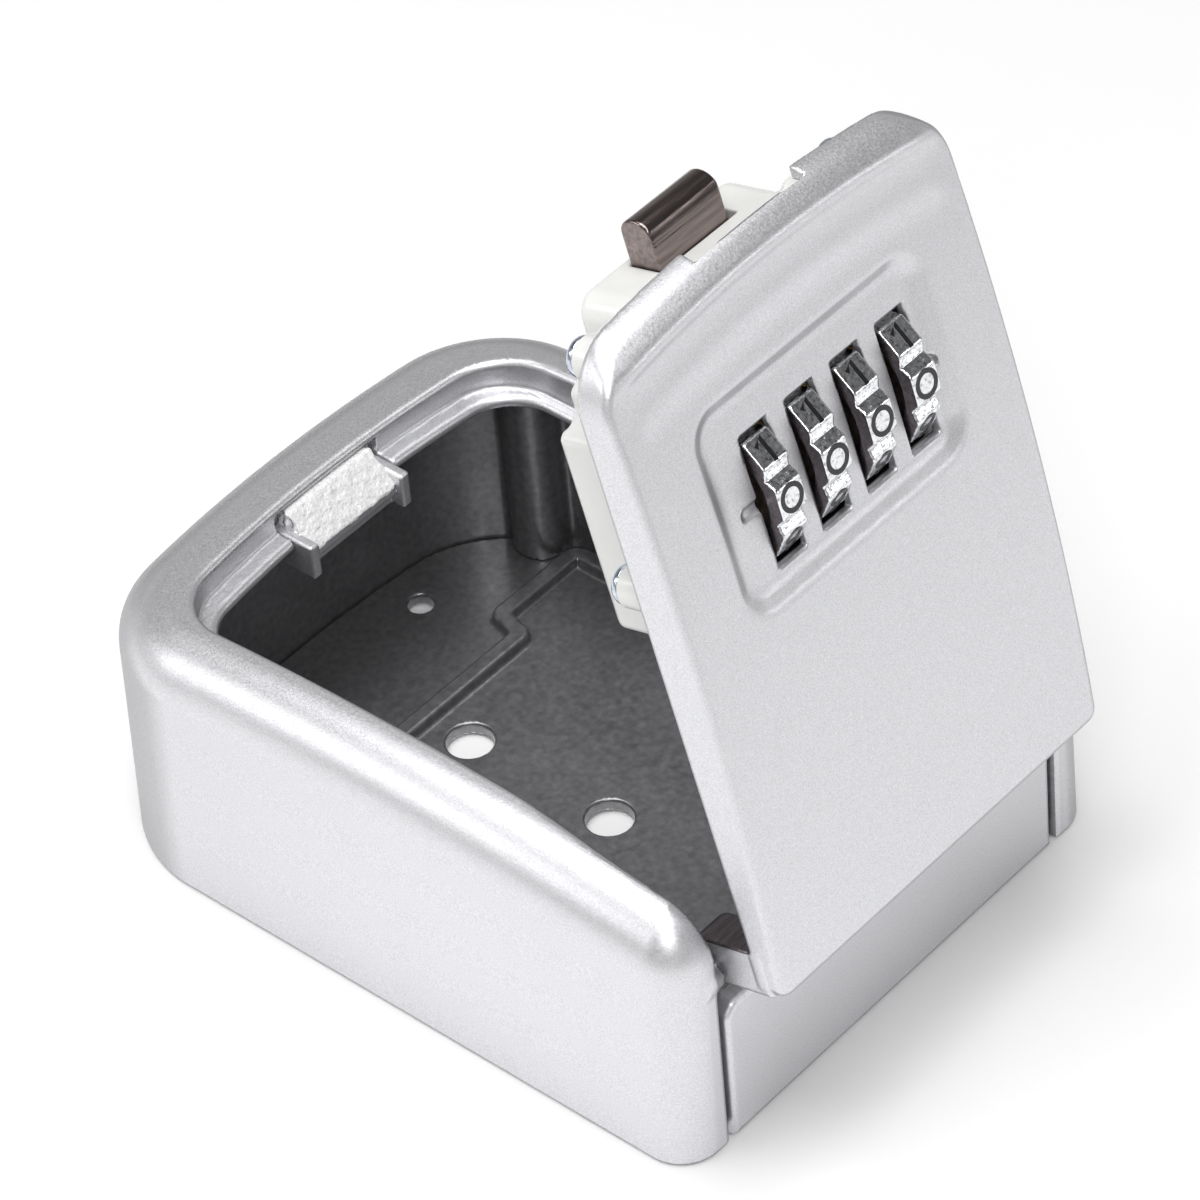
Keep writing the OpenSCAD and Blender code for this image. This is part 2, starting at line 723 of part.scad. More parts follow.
module dial_ring(i) {
  x0 = dial_x(i) - dial_w / 2;
  color([0.60, 0.61, 0.62]) opened() difference() {
    rod(x0, x0 + dial_w, dial_y, dial_z, dial_r);
    rod(x0 - over, x0 + dial_w + over, dial_y, dial_z, tube_r + slip);
    for (n = [0 : digits - 1]) translate([x0 - over, dial_y, dial_z])
      rotate([(n + 0.5) * 360 / digits, 0, 0]) translate([0, 0, dial_r]) rotate([45, 0, 0])
        cube([2 * dial_w + 4 * over, groove_w, groove_w], center = true);
  }
}

module gate_sleeve(i) {
  x0 = cam_x(i);
  color([0.78, 0.70, 0.45]) opened() difference() {
    union() {
      rod(x0, x0 + cam_t, dial_y, dial_z, cam_r);
      rod(x0, x0 + dial_pitch - slip, dial_y, dial_z, tube_r);
    }
    rod(x0 - over, x0 + dial_pitch + over, dial_y, dial_z, shaft_r + slip);
    block([x0 - over, dial_y + cam_r - gate_depth, dial_z - gate_w / 2],
      [x0 + cam_t + slip, dial_y + cam_r + over, dial_z + gate_w / 2]);
  }
}

case_shell();
base_plate();
base_screws();
strike_plate();
hinge_pins();
lid_shell();
lock_housing();
back_cover();
housing_screws();
dial_shaft();
shaft_clips();
detent_spring();
sleeve_spring();
latch_springs();
latch_bolt();
locking_bar();
bar_rivets();
reset_slider();
dial_ring(1);  // dial_ring_1
dial_ring(2);  // dial_ring_2
dial_ring(3);  // dial_ring_3
dial_ring(4);  // dial_ring_4
gate_sleeve(1);  // gate_sleeve_1
gate_sleeve(2);  // gate_sleeve_2
gate_sleeve(3);  // gate_sleeve_3
gate_sleeve(4);  // gate_sleeve_4
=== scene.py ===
import json
import math

import bmesh
import bpy
import numpy as np
from mathutils import Matrix, Vector


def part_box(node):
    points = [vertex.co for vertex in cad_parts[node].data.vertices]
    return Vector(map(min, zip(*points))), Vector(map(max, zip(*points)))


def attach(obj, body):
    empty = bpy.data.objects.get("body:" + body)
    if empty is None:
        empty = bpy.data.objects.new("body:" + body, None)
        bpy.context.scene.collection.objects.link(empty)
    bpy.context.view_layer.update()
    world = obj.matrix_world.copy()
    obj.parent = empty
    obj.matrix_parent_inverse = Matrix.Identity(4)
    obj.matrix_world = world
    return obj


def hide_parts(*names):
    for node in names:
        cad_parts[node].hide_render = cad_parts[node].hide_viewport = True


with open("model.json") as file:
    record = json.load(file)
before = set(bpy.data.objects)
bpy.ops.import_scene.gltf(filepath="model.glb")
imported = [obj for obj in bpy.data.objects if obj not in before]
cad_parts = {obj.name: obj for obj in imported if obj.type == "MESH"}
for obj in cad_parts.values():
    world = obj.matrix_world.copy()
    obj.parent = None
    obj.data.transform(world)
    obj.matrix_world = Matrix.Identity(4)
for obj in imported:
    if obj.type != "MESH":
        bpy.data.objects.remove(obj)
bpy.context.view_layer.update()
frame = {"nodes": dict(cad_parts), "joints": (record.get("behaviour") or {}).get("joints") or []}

MM = 0.001

# ---------------------------------------------------------------- sizes, in millimetres

CASE_LOW, CASE_HIGH = [np.array(corner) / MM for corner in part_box("case_shell")]
HALF_W = CASE_HIGH[0]
HALF_H = CASE_HIGH[1]
DEPTH = CASE_HIGH[2]
DRAFT = 1.0
ARCH_RISE = 5.1
ARCH_R = (ARCH_RISE ** 2 + HALF_W ** 2) / (2 * ARCH_RISE)
ARCH_CY = HALF_H - ARCH_R
ARCH_CORNER_R = 18
FOOT_R = 6.5
EDGE_R = 8
CROWN_Y = -4
CROWN_R = 502
WALL_T = 3.6
RIM_END_W = 14.2
OPENING_HALF = 35.8
OPENING_CORNER_R = 8.9
LEDGE_BOTTOM, LEDGE_TOP = 37.5, 39.5
CHEEK_X = 37.2
CHEEK_END_Y = -HALF_H + 11.2
FLOOR_T = 2.4
PANEL_X = 36.2
PANEL_T = 3.5
PANEL_H = 25.3
BOSSES = [(40.2, 42.2), (39.8, -44.6)]

JOINTS = {joint["name"]: joint for joint in frame["joints"]}
HINGE_Y, HINGE_Z = [value / MM for value in JOINTS["lid_hinge"]["pos_m"][1:]]
LID_OPEN = -math.radians(JOINTS["lid_hinge"]["range_deg"][0])
LID_PROUD = 0.8
HALF_LID = 35.3
LID_FOOT = -HALF_H + 0.2
LID_ARCH_R = ARCH_R - RIM_END_W - 0.5
LID_CORNER_R = 8.4
LID_WALL_Z = 39.8
PIN_HOLE_END, PIN_HOLE_R = 42.1, 1.32
RECESS = dict(x=-0.3, y=11.4, half_w=23.25, half_l=15.8, r=4.5, depth=1.5)
DIAL_COUNT = 4
DIAL_PITCH = 9.48
DIAL_SHIFT = 2.15
DIAL_W = 5.1
DIAL_R = 12.4
WINDOW_HALF_W, WINDOW_HALF_L = 2.97, 10.3
SCREW_SPOTS = [(-25.4, 36.5), (25.4, 36.5), (-29.8, 3.4), (29.8, 3.4)]


def shut(y, z):
    """A rest position of a lid piece, turned back to where it is with the lid shut."""
    c, s = math.cos(LID_OPEN), math.sin(LID_OPEN)
    y, z = y - HINGE_Y, z - HINGE_Z
    return HINGE_Y + y * c + z * s, HINGE_Z - y * s + z * c


DIAL_Y, DIAL_Z = shut(*[value / MM for value in JOINTS["dial_1_turn"]["pos_m"][1:]])


def dial_x(i):
    return DIAL_SHIFT + (i - 2.5) * DIAL_PITCH


# ---------------------------------------------------------------- solids as distance fields
# A field is negative inside a shape. Coordinates are in millimetres.

def meet(a, b, r=0.0):
    """What is inside both shapes, with a rounded edge of radius r."""
    if r == 0:
        return np.maximum(a, b)
    return np.minimum(-r, np.maximum(a, b)) + np.hypot(np.maximum(r + a, 0), np.maximum(r + b, 0))


def join(a, b, r=0.0):
    """Both shapes, with a fillet of radius r where they meet."""
    return -meet(-a, -b, r)


def cut(a, b, r=0.0):
    """The first shape less the second, with a rounded edge of radius r."""
    return meet(a, -b, r)


def slab(v, low, high):
    return np.abs(v - (low + high) / 2) - (high - low) / 2


def rect(u, v, centre, half, r):
    du, dv = np.abs(u - centre[0]) - half[0] + r, np.abs(v - centre[1]) - half[1] + r
    return np.hypot(np.maximum(du, 0), np.maximum(dv, 0)) + np.minimum(np.maximum(du, dv), 0) - r


def disc(u, v, centre, r):
    return np.hypot(u - centre[0], v - centre[1]) - r


def box(p, low, high, r=0.0):
    sides = [slab(v, a, b) for v, a, b in zip(p, low, high)]
    return meet(meet(sides[0], sides[1], r), sides[2], r)


def rod(p, x0, x1, y, z, r, edge=0.0):
    return meet(slab(p[0], x0, x1), disc(p[1], p[2], (y, z), r), edge)


def polyline(u, v, points):
    """Distance to a path of straight runs."""
    best = None
    for (ax, ay), (bx, by) in zip(points, points[1:]):
        dx, dy = bx - ax, by - ay
        t = np.clip(((u - ax) * dx + (v - ay) * dy) / (dx * dx + dy * dy), 0, 1)
        d = np.hypot(u - ax - t * dx, v - ay - t * dy)
        best = d if best is None else np.minimum(best, d)
    return best


def arc_points(cx, cy, rx, ry, start, end, steps=14):
    return [(cx + rx * math.cos(math.radians(a)), cy + ry * math.sin(math.radians(a)))
            for a in np.linspace(start, end, steps)]


def smooth_step(t):
    t = np.clip(t, 0, 1)
    return t * t * (3 - 2 * t)


CORNERS = [(i, j, k) for i in (0, 1) for j in (0, 1) for k in (0, 1)]


def skin(field, low, high, cell):
    """Points, quads and normals of the surface where field is zero, on cubes of side cell."""
    axes = [np.arange(a - 1.6 * cell, b + 2.6 * cell, cell) for a, b in zip(low, high)]
    x, y, z = [a.astype(np.float32).reshape([-1 if n == m else 1 for m in range(3)])
               for n, a in enumerate(axes)]
    shape = tuple(len(a) for a in axes)
    values = np.broadcast_to(field((x, y, z)), shape).astype(np.float32)
    solid = values < 0
    window = lambda a, c: a[c[0]:shape[0] - 1 + c[0], c[1]:shape[1] - 1 + c[1], c[2]:shape[2] - 1 + c[2]]
    count = sum(window(solid, c).astype(np.uint8) for c in CORNERS)
    cells = np.argwhere((count > 0) & (count < 8))
    index = np.full(count.shape, -1, np.int64)
    index[tuple(cells.T)] = np.arange(len(cells))
    corner_values = {c: values[tuple((cells + c).T)] for c in CORNERS}
    total, hits = np.zeros((len(cells), 3)), np.zeros(len(cells))
    for a in CORNERS:
        for b in CORNERS:
            if b > a and sum(abs(i - j) for i, j in zip(a, b)) == 1:
                fa, fb = corner_values[a], corner_values[b]
                crosses = (fa < 0) != (fb < 0)
                t = fa[crosses] / (fa[crosses] - fb[crosses])
                total[crosses] += np.array(a) + t[:, None] * (np.array(b) - np.array(a))
                hits[crosses] += 1
    start = np.array([a[0] for a in axes])
    points = start + cell * (cells + total / hits[:, None])
    quads = []
    for axis in range(3):
        others = [n for n in range(3) if n != axis]
        here = [slice(None)] * 3
        ahead = [slice(None)] * 3
        here[axis], ahead[axis] = slice(0, -1), slice(1, None)
        changed = np.argwhere(solid[tuple(here)] != solid[tuple(ahead)])
        steps = []
        for du, dv in ((0, 0), (-1, 0), (-1, -1), (0, -1)):
            step = np.zeros(3, int)
            step[others[0]], step[others[1]] = du, dv
            steps.append(index[tuple((changed + step).T)])
        loop = np.stack(steps, 1)
        flip = solid[tuple(changed.T)] != (axis == 1)
        loop[~flip] = loop[~flip][:, ::-1]
        quads.append(loop)
    slope = lambda pts: np.stack([field(tuple((pts + d).T)) - field(tuple((pts - d).T))
                                  for d in np.eye(3) * 0.02], 1) / 0.04
    for _ in range(3):
        g = slope(points)
        size = np.maximum((g * g).sum(1), 0.2)
        step = (field(tuple(points.T)) / size)[:, None] * g
        length = np.maximum(np.linalg.norm(step, axis=1), 1e-9)[:, None]
        points = points - step * np.minimum(1, 0.4 * cell / length)
    g = slope(points)
    normals = g / np.maximum(np.linalg.norm(g, axis=1), 1e-9)[:, None]
    return points, np.concatenate(quads), normals


LID_TURN = (Matrix.Translation((0, HINGE_Y * MM, HINGE_Z * MM)) @ Matrix.Rotation(LID_OPEN, 4, "X")
            @ Matrix.Translation((0, -HINGE_Y * MM, -HINGE_Z * MM)))


def carve(name, field, low, high, cell, materials, choose=None, on_lid=False):
    """A smooth mesh object made from a field. choose gives each face's material from its centre and normal.
    A lid piece is carved as it lies with the lid shut, and then turned to its rest place."""
    points, quads, normals = skin(field, low, high, cell)
    mesh = bpy.data.meshes.new(name)
    mesh.from_pydata((points * MM).tolist(), [], quads.tolist())
    for material in materials:
        mesh.materials.append(material)
    if choose:
        centres = points[quads].mean(1)
        facing = normals[quads].mean(1)
        mesh.polygons.foreach_set("material_index", choose(centres, facing).astype(np.int32))
    mesh.polygons.foreach_set("use_smooth", np.ones(len(quads), bool))
    mesh.normals_split_custom_set_from_vertices(normals.tolist())
    obj = bpy.data.objects.new(name, mesh)
    bpy.context.scene.collection.objects.link(obj)
    if on_lid:
        obj.data.transform(LID_TURN)
    return obj


FINE = 1.0

# ---------------------------------------------------------------- materials

def new_material(name, colour, metallic, roughness, coat=0.0):
    """A Principled material and its node tree, ready for patterns."""
    material = bpy.data.materials.new(name)
    material.use_nodes = True
    tree = material.node_tree
    shader = tree.nodes["Principled BSDF"]
    shader.inputs["Base Color"].default_value = (*colour, 1)
    shader.inputs["Metallic"].default_value = metallic
    shader.inputs["Roughness"].default_value = roughness
    shader.inputs["Coat Weight"].default_value = coat
    shader.inputs["Coat Roughness"].default_value = 0.15
    return material, tree, shader


def noise(tree, scale, detail=3.0, stretch=(1, 1, 1)):
    """Noise over object coordinates in metres. scale is bumps per metre."""
    coords = tree.nodes.new("ShaderNodeTexCoord")
    mapping = tree.nodes.new("ShaderNodeMapping")
    mapping.inputs["Scale"].default_value = stretch
    texture = tree.nodes.new("ShaderNodeTexNoise")
    texture.inputs["Scale"].default_value = scale
    texture.inputs["Detail"].default_value = detail
    tree.links.new(coords.outputs["Object"], mapping.inputs["Vector"])
    tree.links.new(mapping.outputs["Vector"], texture.inputs["Vector"])
    return texture.outputs["Fac"]


def ramp(tree, value, stops):
    node = tree.nodes.new("ShaderNodeValToRGB")
    elements = node.color_ramp.elements
    while len(elements) < len(stops):
        elements.new(0.5)
    for element, (place, shade) in zip(elements, stops):
        element.position = place
        element.color = (*shade, 1) if isinstance(shade, tuple) else (shade, shade, shade, 1)
    tree.links.new(value, node.inputs["Fac"])
    return node.outputs["Color"]


def bump(tree, shader, heights):
    """Adds bumps, each a (height value, strength, distance in metres), one on another."""
    normal = None
    for height, strength, distance in heights:
        node = tree.nodes.new("ShaderNodeBump")
        node.inputs["Strength"].default_value = strength
        node.inputs["Distance"].default_value = distance
        tree.links.new(height, node.inputs["Height"])
        if normal is not None:
            tree.links.new(normal, node.inputs["Normal"])
        normal = node.outputs["Normal"]
    tree.links.new(normal, shader.inputs["Normal"])


def tint(tree, shader, colour, value, low, high):
    """Varies the base colour between low and high times colour."""
    shades = [(0.3, tuple(c * low for c in colour)), (0.7, tuple(min(1, c * high) for c in colour))]
    tree.links.new(ramp(tree, value, shades), shader.inputs["Base Color"])


def vary_roughness(tree, shader, value, low, high):
    tree.links.new(ramp(tree, value, [(0.3, low), (0.7, high)]), shader.inputs["Roughness"])


def flop(tree, shader):
    """Darkens the base colour where the surface is seen at a low angle, as metal flakes in paint do."""
    weight = tree.nodes.new("ShaderNodeLayerWeight")
    mix = tree.nodes.new("ShaderNodeMixRGB")
    mix.blend_type = "MULTIPLY"
    mix.inputs["Fac"].default_value = 1
    source = shader.inputs["Base Color"].links[0].from_socket
    tree.links.new(source, mix.inputs["Color1"])
    shade = ramp(tree, weight.outputs["Facing"], [(0.0, 1.0), (0.5, 1.0), (0.66, 0.68), (1.0, 0.42)])
    tree.links.new(shade, mix.inputs["Color2"])
    tree.links.new(mix.outputs["Color"], shader.inputs["Base Color"])


def silver_paint():
    colour = (0.735, 0.735, 0.76)
    material, tree, shader = new_material("silver_paint", colour, 0.85, 0.42, coat=0.15)
    tint(tree, shader, colour, noise(tree, 5200, 2), 0.86, 1.14)
    flop(tree, shader)
    vary_roughness(tree, shader, noise(tree, 3000, 2), 0.36, 0.50)
    bump(tree, shader, [(noise(tree, 2400, 3), 0.16, 0.00012), (noise(tree, 260, 2), 0.10, 0.0004)])
    return material


# dark grey paint of the case's inside and the floor, also used as painted shade in the hinge slots
def dark_paint():
    colour = (0.25, 0.25, 0.26)
    material, tree, shader = new_material("dark_paint", colour, 0.75, 0.34, coat=0.4)
    tint(tree, shader, colour, noise(tree, 900, 3), 0.85, 1.18)
    vary_roughness(tree, shader, noise(tree, 700, 3), 0.30, 0.42)
    bump(tree, shader, [(noise(tree, 2600, 3), 0.16, 0.0001), (noise(tree, 200, 2), 0.12, 0.0004)])
    return material


def rough_casting():
    colour = (0.86, 0.86, 0.86)
    material, tree, shader = new_material("strike_paint", colour, 0.15, 0.5, coat=0.1)
    tint(tree, shader, colour, noise(tree, 1400, 4), 0.92, 1.08)
    bump(tree, shader, [(noise(tree, 1300, 4), 0.75, 0.0005)])
    return material


def bare_metal(name, colour, roughness, streak, grain=3000, strength=0.25):
    """Metal with fine streaks. streak stretches the noise, small along the streaks."""
    material, tree, shader = new_material(name, colour, 1.0, roughness)
    tint(tree, shader, colour, noise(tree, grain, 4, streak), 0.72, 1.25)
    vary_roughness(tree, shader, noise(tree, grain * 0.7, 3, streak), roughness * 0.75, roughness * 1.3)
    bump(tree, shader, [(noise(tree, grain, 3, streak), strength, 0.00012)])
    return material


def hammered_chrome():
    colour = (0.72, 0.73, 0.75)
    material, tree, shader = new_material("dial_chrome", colour, 1.0, 0.18)
    speckle = [(0.33, (0.4, 0.4, 0.42)), (0.45, (0.85, 0.86, 0.88)), (0.6, (0.97, 0.98, 1.0))]
    tree.links.new(ramp(tree, noise(tree, 1700, 4), speckle), shader.inputs["Base Color"])
    vary_roughness(tree, shader, noise(tree, 1500, 3), 0.10, 0.26)
    bump(tree, shader, [(noise(tree, 1400, 4), 0.26, 0.00030)])
    return material


def plastic(name, colour, roughness, grain=0.1):
    material, tree, shader = new_material(name, colour, 0.0, roughness, coat=0.3)
    tint(tree, shader, colour, noise(tree, 120, 3), 0.96, 1.03)
    vary_roughness(tree, shader, noise(tree, 900, 3), roughness * 0.8, roughness * 1.2)
    bump(tree, shader, [(noise(tree, 3500, 2), grain, 0.0001), (noise(tree, 300, 2), 0.08, 0.0004)])
    shader.inputs["Subsurface Weight"].default_value = 0.06
    shader.inputs["Subsurface Radius"].default_value = (0.002, 0.002, 0.0015)
    return material


PAINT = silver_paint()
DARK = dark_paint()
STRIKE = rough_casting()
SCREW = bare_metal("screw_steel", (0.62, 0.68, 0.78), 0.14, (1, 1, 1), 1200, 0.1)
STEEL = bare_metal("pin_steel", (0.55, 0.55, 0.57), 0.3, (0.1, 1, 1))
SPRING = bare_metal("spring_steel", (0.5, 0.5, 0.52), 0.28, (1, 0.2, 1))
# dark bare zinc of the lid ears' inner faces, also used as painted shade on the dial sides
BARE_ZINC_AND_SHADE = bare_metal("bare_zinc_and_shade", (0.17, 0.15, 0.16), 0.38, (0.12, 1, 1), 1600, 0.6)
LATCH = bare_metal("latch_metal", (0.24, 0.20, 0.19), 0.2, (0.06, 1, 1), 1500, 0.6)
BAR = bare_metal("bar_steel", (0.58, 0.52, 0.36), 0.3, (0.2, 1, 1))
BRASS = bare_metal("sleeve_brass", (0.78, 0.6, 0.28), 0.28, (1, 1, 0.3))
CHROME = hammered_chrome()
IVORY = plastic("housing_plastic", (0.74, 0.74, 0.72), 0.2)
COVER = plastic("cover_plastic", (0.74, 0.74, 0.71), 0.4, 0.3)
# black plastic of the reset slider, also used as painted shade on the lock case's inner rooms
BLACK_AND_SHADE = plastic("slider_plastic", (0.02, 0.02, 0.022), 0.45, 0.2)
INK = plastic("digit_ink", (0.008, 0.008, 0.009), 0.35, 0.3)

# ---------------------------------------------------------------- case

def case_outline(x, y, z, inset=0.0):
    draft = DRAFT * z / DEPTH + inset
    sides = np.abs(x) - (HALF_W - draft)
    arch = np.hypot(x, y - ARCH_CY) - (ARCH_R - draft)
    return meet(meet(sides, arch, ARCH_CORNER_R), -(y + HALF_H), FOOT_R)


def crown(y, z, raised=0.0):
    return np.hypot(y - CROWN_Y, z - (DEPTH - CROWN_R + raised)) - CROWN_R


def opening(x, y, side_inset=0.0, end_inset=0.0):
    arch = np.hypot(x, y - ARCH_CY) - (ARCH_R - RIM_END_W - end_inset)
    half = OPENING_HALF + (CHEEK_X - OPENING_HALF) * smooth_step((-22 - y) / 26)
    return meet(np.abs(x) - (half - side_inset), arch, OPENING_CORNER_R - side_inset)


STRIKE_HALF, STRIKE_Y = 10.8, (38.6, 47.4)
STRIKE_Z = (33.2, 42.0)
LEDGE_SIDE, LEDGE_END = 1.8, 3.4
POST_R, POST_BORE_R, POST_BORE_TOP = 4.5, 1.6, 14
KNUCKLE_R = 2.6


def case_field(p):
    x, y, z = p
    shell = meet(meet(case_outline(x, y, z), crown(y, z), EDGE_R), -z, 0.5)
    cavity = meet(meet(case_outline(x, y, 0 * z, WALL_T), z - LEDGE_BOTTOM, 1.2), CHEEK_END_Y - y, 1.2)
    body = cut(shell, cavity, 0.5)
    body = cut(body, meet(opening(x, y, LEDGE_SIDE, LEDGE_END), LEDGE_BOTTOM - 4 - z), 0.8)
    body = cut(body, meet(opening(x, y), LEDGE_TOP - z, 0.7), 1.1)
    body = cut(body, meet(np.abs(x) - CHEEK_X, y - CHEEK_END_Y, 1.0), 0.9)
    for bx, by in BOSSES:
        post = meet(disc(np.abs(x), y, (bx, by), POST_R), slab(z, FLOOR_T + 0.1, LEDGE_BOTTOM + 0.3))
        body = join(body, meet(post, case_outline(x, y, z, 2.2)), 1.6)
        body = cut(body, meet(disc(np.abs(x), y, (bx, by), POST_BORE_R), z - POST_BORE_TOP), 0.2)
    knuckle = rod((np.abs(x), y, z), OPENING_HALF, CHEEK_X + 2, HINGE_Y, HINGE_Z, KNUCKLE_R)
    body = join(body, knuckle, 0.6)
    body = cut(body, rod(p, -PIN_HOLE_END, PIN_HOLE_END, HINGE_Y, HINGE_Z, PIN_HOLE_R), 0.1)
    seat = box(p, (-STRIKE_HALF - 0.1, STRIKE_Y[0] - 3, STRIKE_Z[0] - 0.1),
               (STRIKE_HALF + 0.1, STRIKE_Y[1] + 0.1, STRIKE_Z[1] + 0.1))
    return cut(body, seat, 0.3)


def case_material(centres, facing):
    """Dark paint inside below the ledge, painted shade in the slots beside the lid's ears, silver elsewhere.
    """
    x, y, z = centres.T
    inside = case_outline(x, y, 0 * z, WALL_T - 1.2) < 0
    low = z < LEDGE_BOTTOM - 0.2
    # painted shade: the slots between the cheeks and the lid's ears, with the knuckle in them, are painted
    # dark where shade falls
    slot_shade = (np.abs(x) < CHEEK_X + 0.3) & (y < CHEEK_END_Y + 2) & (z < LEDGE_BOTTOM)
    return ((inside & low & (y > CHEEK_END_Y + 1.5) & (z > 0.6)) | slot_shade).astype(int)


case = carve("case_body", case_field, CASE_LOW, CASE_HIGH, 0.64 * FINE, [PAINT, DARK], case_material)
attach(case, "case")
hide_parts("case_shell")

BIG_HOLE_R, SMALL_HOLE_R = 3.7, 2.1
HOLES = [(0, y, BIG_HOLE_R) for y in (21.6, -6.0)]
HOLES += [(x, y, SMALL_HOLE_R) for x in (-18.4, 18.4) for y in (48.1, -44.1)]
BEAD_BEND_R = 1.1


def bead_path():
    """Half of the raised bead on the floor: along the side, across, then a soft S to the middle stretch."""
    upper = arc_points(23.6, 34.4, BEAD_BEND_R, BEAD_BEND_R, 90, 195, 7)
    lower = arc_points(20.6, 31.1, BEAD_BEND_R, BEAD_BEND_R, 15, -90, 7)
    return [(40.5, -38), (40.5, 34.3), (40.2, 35.0), (39.3, 35.5)] + upper + lower + [(0, 30.0)]


BEAD = bead_path()
BEAD_HALF_W, BEAD_RISE = 1.45, 1.75
FLOOR_GAP = 0.2
BASE_SCREW_R, BASE_HEAD_R, BASE_HEAD_T = 1.75, 3.1, 1.45


def plate_field(p):
    x, y, z = p
    sheet_z = slab(z, 0, FLOOR_T)
    floor = meet(case_outline(x, y, 0 * z, WALL_T + FLOOR_GAP), CHEEK_END_Y + FLOOR_GAP - y, 0.5)
    floor = meet(floor, sheet_z, 0.25)
    tongue = meet(np.abs(x) - PANEL_X, slab(y, -HALF_H + 1.5, CHEEK_END_Y + 2))
    tongue = meet(tongue, sheet_z, 0.25)
    chamfer = (np.abs(x) - PANEL_X + z - PANEL_H) / math.sqrt(2) + 1.3
    sheet = meet(meet(np.abs(x) - PANEL_X, z - PANEL_H), chamfer, 0.5)
    panel = meet(meet(sheet, -z), slab(y, -HALF_H, -HALF_H + PANEL_T), 0.9)
    body = meet(join(join(floor, tongue), panel, 1.5), -z, 0.3)
    ridge = meet(polyline(np.abs(x), y, BEAD) - BEAD_HALF_W, slab(z, 0.5, FLOOR_T + BEAD_RISE), 0.5)
    body = join(body, ridge, 0.5)
    for hx, hy, r in HOLES:
        body = cut(body, disc(x, y, (hx, hy), r), 0.45)
    for bx, by in BOSSES:
        body = cut(body, disc(np.abs(x), y, (bx, by), BASE_SCREW_R), 0.1)
        body = cut(body, meet(disc(np.abs(x), y, (bx, by), BASE_HEAD_R), z - BASE_HEAD_T), 0.15)
    return body


def plate_material(centres, facing):
    """The end panel's outer faces are painted silver like the case, and the floor is dark."""
    y, z = centres.T[1:]
    return np.where((y < -HALF_H + PANEL_T - 0.4) | (z < 0.5), 0, 1)


PLATE_LOW, PLATE_HIGH = [np.array(corner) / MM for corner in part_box("base_plate")]
plate = carve("floor_plate", plate_field, PLATE_LOW, PLATE_HIGH, 0.53 * FINE, [PAINT, DARK], plate_material)
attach(plate, "case")
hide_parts("base_plate")


RAMP_FOOT = (40.3, 37.2)
RAMP_HALF, EAR_INNER = 9.1, 8.9


def strike_field(p):
    """A rough ramp between two ears that stand level with the ledge."""
    x, y, z = p
    wave = 0.22 * np.sin(2.1 * y + 1.4 * z) + 0.14 * np.sin(4.3 * y + 0.7)
    lean = (y - RAMP_FOOT[0] - (z - RAMP_FOOT[1])) / math.sqrt(2)
    ripple = 0.05 * np.sin(1.3 * x + 0.9 * z) * np.sin(2.9 * z - 0.4 * x + 1.0)
    face = meet(slab(z, 35.7, STRIKE_Z[1]), slab(y, RAMP_FOOT[0], STRIKE_Y[1]))
    wedge = meet(meet(np.abs(x) - RAMP_HALF - wave, face, 0.25), ripple - lean, 0.2)
    base = box(p, (-9.2, 41.6, STRIKE_Z[0]), (9.2, STRIKE_Y[1], 37.0), 0.4)
    ears = box((np.abs(x), y, z), (EAR_INNER, STRIKE_Y[0] + 0.5, STRIKE_Z[0]),
               (STRIKE_HALF, STRIKE_Y[1], LEDGE_TOP - 0.1), 0.5)
    return join(join(base, ears, 0.3), wedge, 0.15)


def strike_material(centres, facing):
    """The ramp is left rough, and the ears and the block under it are painted."""
    x, y, z = centres.T
    return ((np.abs(x) > 9.35) | (z < 36.6) | (facing[:, 2] < 0.15)).astype(int)


strike = carve("strike_block", strike_field, (-STRIKE_HALF, STRIKE_Y[0], STRIKE_Z[0]),
               (STRIKE_HALF, STRIKE_Y[1], STRIKE_Z[1]), 0.26 * FINE, [STRIKE, PAINT], strike_material)
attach(strike, "case")
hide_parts("strike_plate")

# ---------------------------------------------------------------- lid

def lid_outline(x, y, inset=0.0):
    arch = np.hypot(x, y - ARCH_CY) - (LID_ARCH_R - inset)
    return meet(meet(np.abs(x) - (HALF_LID - inset), arch, LID_CORNER_R - inset), LID_FOOT + inset - y)


LIP_RISE, LIP_AT, LIP_SPREAD = 0.75, 4.0, 1.7
DIP_AT, DIP_SPREAD = 10.0, 4.2


def lid_front(x, y, z):
    """The crowned front, with the raised finger lip and the soft dip below it.
    d is how far a point lies inside the arch."""
    d = LID_ARCH_R - np.hypot(x, y - ARCH_CY)
    fade = smooth_step((HALF_LID + 0.2 - np.abs(x)) / 7) * smooth_step((26 - d) / 10)
    relief = np.exp(-((d - LIP_AT) / LIP_SPREAD) ** 2) - np.exp(-((d - DIP_AT) / DIP_SPREAD) ** 2)
    return crown(y, z, LID_PROUD) - LIP_RISE * relief * fade


RECESS_INSET, RECESS_SLOPE = 2.3, 1.9
MARK_R, MARK_SUNK, MARK_OUT = 1.15, 0.5, 2.6
LID_SHEET = 2.4
RIM_ROLL = 1.6
NOTCH_HALF = 11.1
SKIRT_HALF, SKIRT_T, SKIRT_Z = 29.5, 2.2, 26.3
EAR_X, EAR_Y, EAR_AXIS_Y, EAR_R = 28.8, -52.5, -56.3, 3.9
LID_POST_R = 2.9


def recess_2d(x, y):
    """Distance to the foot of the bevel round the dial panel."""
    half = (RECESS["half_w"] - RECESS_INSET, RECESS["half_l"] - RECESS_INSET)
    return rect(x, y, (RECESS["x"], RECESS["y"]), half, RECESS["r"] - 1.5)


